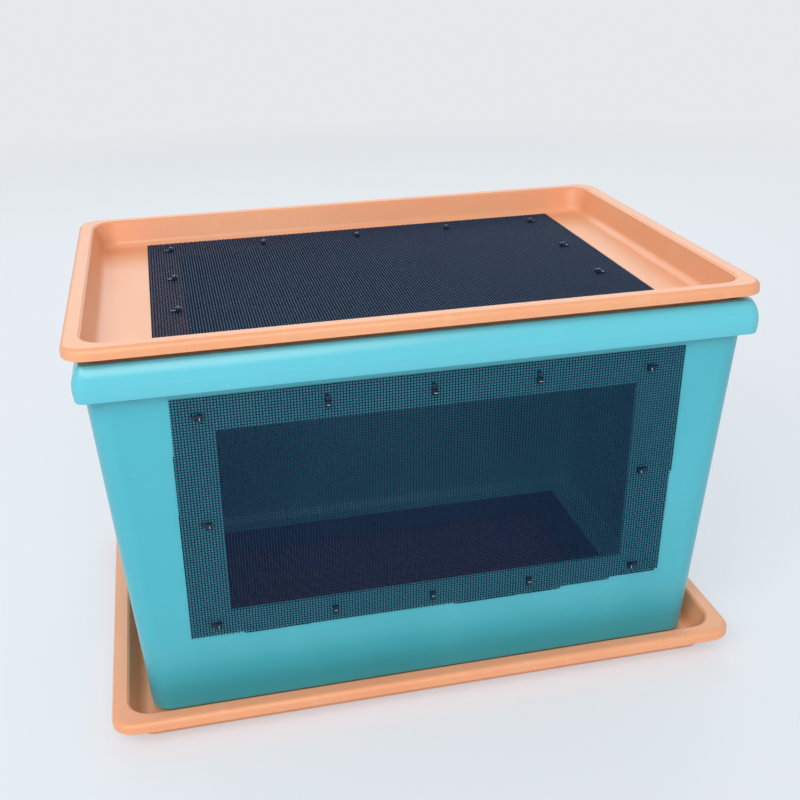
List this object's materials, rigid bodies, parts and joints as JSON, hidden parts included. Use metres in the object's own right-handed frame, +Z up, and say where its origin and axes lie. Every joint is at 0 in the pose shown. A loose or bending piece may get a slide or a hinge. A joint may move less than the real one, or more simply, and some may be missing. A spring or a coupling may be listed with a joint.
{
  "type": "cricket keeper box",
  "caption": "Ventilated box for live insects: a tapered plastic tub with a screened window, standing in a drip tray, with a matching screened tray as its lift-off lid.",
  "frame": {"origin": "centre of the drip tray's underside, on the surface that the box stands on", "axes": "+Z up, +X along the long side, the screened front faces -Y"},
  "size_m": [0.5, 0.35, 0.3244],
  "materials": {
    "tray_plastic": "orange polypropylene, satin, with a soft moulding sheen",
    "tub_plastic": "turquoise polypropylene, satin, with a soft moulding sheen",
    "coated_screen": "near-black plastic-coated woven screen",
    "nylon_tie": "black moulded nylon"
  },
  "bodies": {
    "base": {"base_tray": "tray_plastic"},
    "box": {"tub": "tub_plastic", "front_screen": "coated_screen", "front_ties": "nylon_tie", "floor_screen": "coated_screen", "floor_ties": "nylon_tie"},
    "lid": {"lid_tray": "tray_plastic", "lid_screen": "coated_screen", "lid_ties": "nylon_tie"}
  },
  "joints": [
    {"name": "tub_lift", "type": "slide", "parent": "base", "child": "box", "axis": [0, 0, 1], "range_m": [0, 0.08]},
    {"name": "lid_lift", "type": "slide", "parent": "box", "child": "lid", "axis": [0, 0, 1], "range_m": [0, 0.12]}
  ]
}
